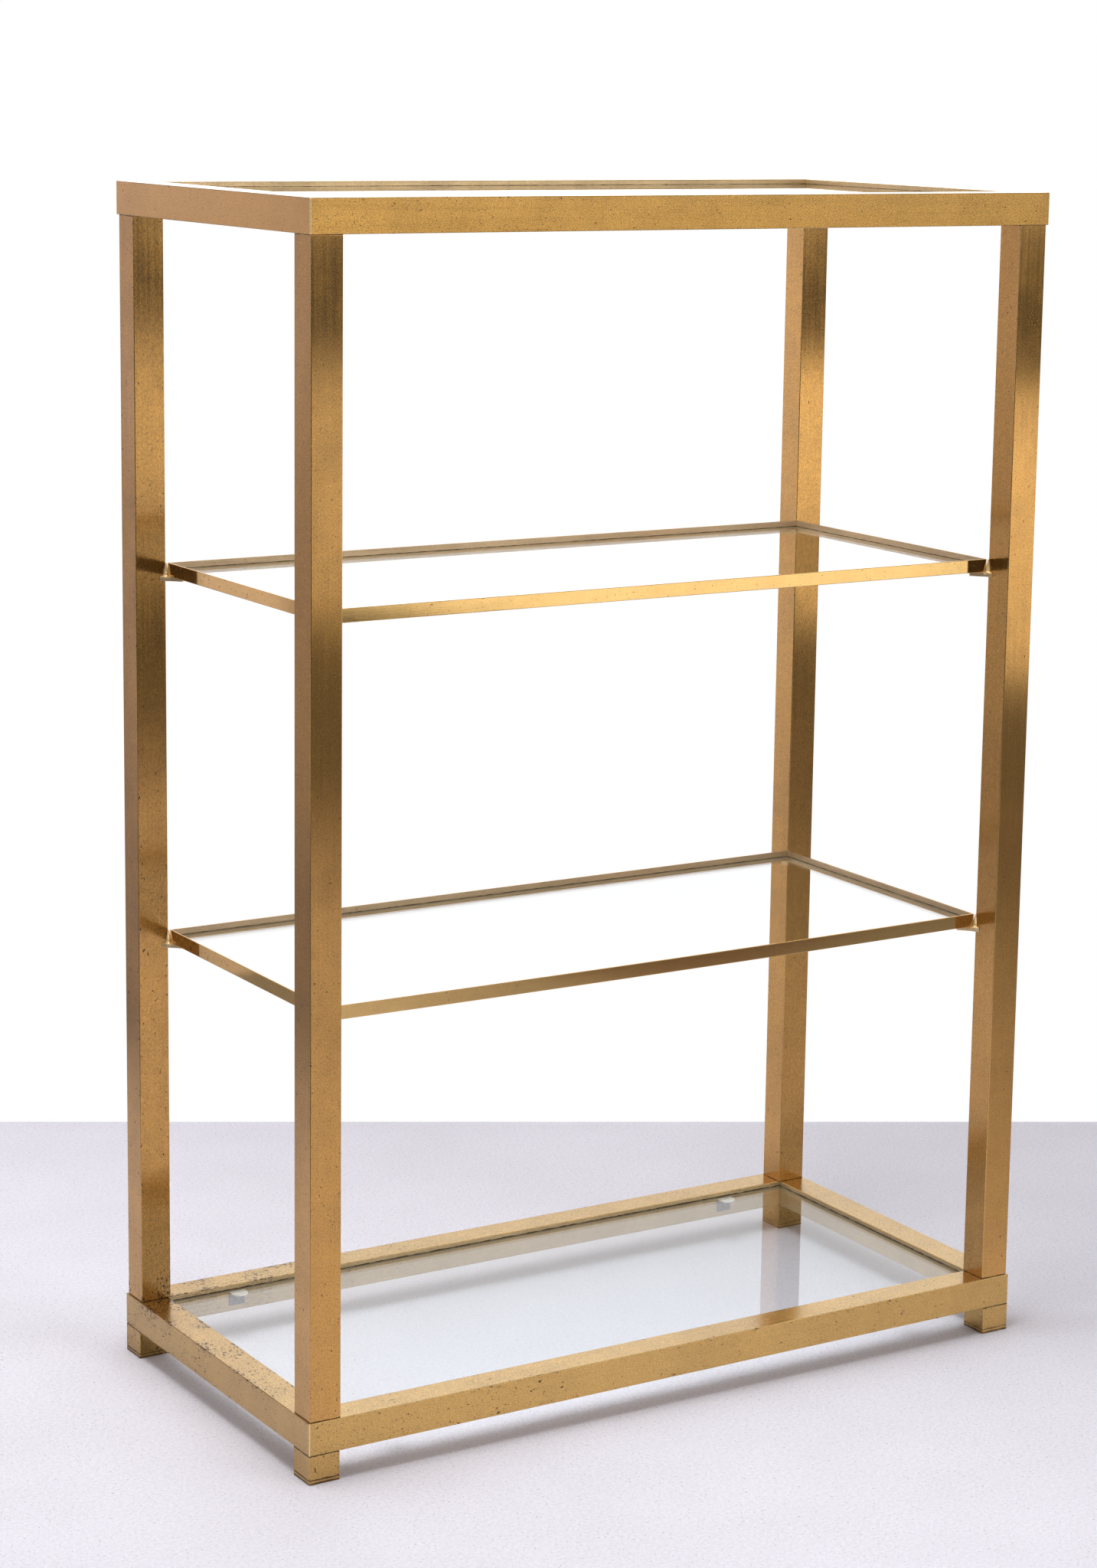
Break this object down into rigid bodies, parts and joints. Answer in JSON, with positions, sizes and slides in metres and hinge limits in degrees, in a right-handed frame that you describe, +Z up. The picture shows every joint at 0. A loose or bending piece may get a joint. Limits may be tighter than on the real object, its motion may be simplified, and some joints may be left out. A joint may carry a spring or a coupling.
{
  "type": "etagere",
  "caption": "Tall open shelving unit of square brass tube: corner posts between mitred frames, glass base and top panes, and glass shelves in slim brass angle frames on corner brackets.",
  "frame": {"origin": "on the floor, under the middle of the footprint", "axes": "+X along the long side to the right, +Y to the back, +Z up; the front is -Y"},
  "size_m": [0.9, 0.442, 1.294],
  "materials": {
    "brushed_brass": "long brushed grain under a clear lacquer, with small dark spots of tarnish",
    "polished_brass": "mirror polished, lightly marked",
    "aged_brass": "satin, tarnished brown",
    "nickel": "satin nickel plate",
    "steel": "plain zinc plated steel, hidden inside",
    "glass": "clear float glass with a ground arris and pale green edges"
  },
  "bodies": {
    "stand": {"base_rail_front": "brushed_brass", "base_rail_right": "brushed_brass", "base_rail_rear": "brushed_brass", "base_rail_left": "brushed_brass", "top_rail_front": "brushed_brass", "top_rail_right": "brushed_brass", "top_rail_rear": "brushed_brass", "top_rail_left": "brushed_brass", "post_front_left": "brushed_brass", "post_front_right": "brushed_brass", "post_rear_left": "brushed_brass", "post_rear_right": "brushed_brass", "foot_front_left": "brushed_brass", "foot_front_right": "brushed_brass", "foot_rear_left": "brushed_brass", "foot_rear_right": "brushed_brass", "foot_cap_front_left": "aged_brass", "foot_cap_front_right": "aged_brass", "foot_cap_rear_left": "aged_brass", "foot_cap_rear_right": "aged_brass", "post_foot_plug_front_left": "steel", "post_foot_plug_front_right": "steel", "post_foot_plug_rear_left": "steel", "post_foot_plug_rear_right": "steel", "post_head_plug_front_left": "steel", "post_head_plug_front_right": "steel", "post_head_plug_rear_left": "steel", "post_head_plug_rear_right": "steel", "corner_bolt_front_left": "steel", "corner_bolt_front_right": "steel", "corner_bolt_rear_left": "steel", "corner_bolt_rear_right": "steel", "base_clip_front_left": "nickel", "base_clip_front_right": "nickel", "base_clip_rear_left": "nickel", "base_clip_rear_right": "nickel", "top_clip_front_left": "nickel", "top_clip_front_right": "nickel", "top_clip_rear_left": "nickel", "top_clip_rear_right": "nickel", "upper_shelf_bracket_front_left": "polished_brass", "upper_shelf_bracket_front_right": "polished_brass", "upper_shelf_bracket_rear_left": "polished_brass", "upper_shelf_bracket_rear_right": "polished_brass", "lower_shelf_bracket_front_left": "polished_brass", "lower_shelf_bracket_front_right": "polished_brass", "lower_shelf_bracket_rear_left": "polished_brass", "lower_shelf_bracket_rear_right": "polished_brass"},
    "base_pane": {"base_glass": "glass"},
    "top_pane": {"top_glass": "glass"},
    "upper_shelf": {"upper_shelf_rail_front": "polished_brass", "upper_shelf_rail_right": "polished_brass", "upper_shelf_rail_rear": "polished_brass", "upper_shelf_rail_left": "polished_brass"},
    "upper_shelf_pane": {"upper_shelf_glass": "glass"},
    "lower_shelf": {"lower_shelf_rail_front": "polished_brass", "lower_shelf_rail_right": "polished_brass", "lower_shelf_rail_rear": "polished_brass", "lower_shelf_rail_left": "polished_brass"},
    "lower_shelf_pane": {"lower_shelf_glass": "glass"}
  },
  "joints": [
    {"name": "base_pane_lift", "type": "slide", "parent": "stand", "child": "base_pane", "axis": [0, 0, 1], "range_m": [0, 0.2]},
    {"name": "lower_shelf_lift", "type": "slide", "parent": "stand", "child": "lower_shelf", "axis": [0, 0, 1], "range_m": [0, 0.15]},
    {"name": "lower_shelf_pane_lift", "type": "slide", "parent": "lower_shelf", "child": "lower_shelf_pane", "axis": [0, 0, 1], "range_m": [0, 0.1]},
    {"name": "upper_shelf_lift", "type": "slide", "parent": "stand", "child": "upper_shelf", "axis": [0, 0, 1], "range_m": [0, 0.15]},
    {"name": "upper_shelf_pane_lift", "type": "slide", "parent": "upper_shelf", "child": "upper_shelf_pane", "axis": [0, 0, 1], "range_m": [0, 0.1]},
    {"name": "top_pane_lift", "type": "slide", "parent": "stand", "child": "top_pane", "axis": [0, 0, 1], "range_m": [0, 0.15]}
  ]
}
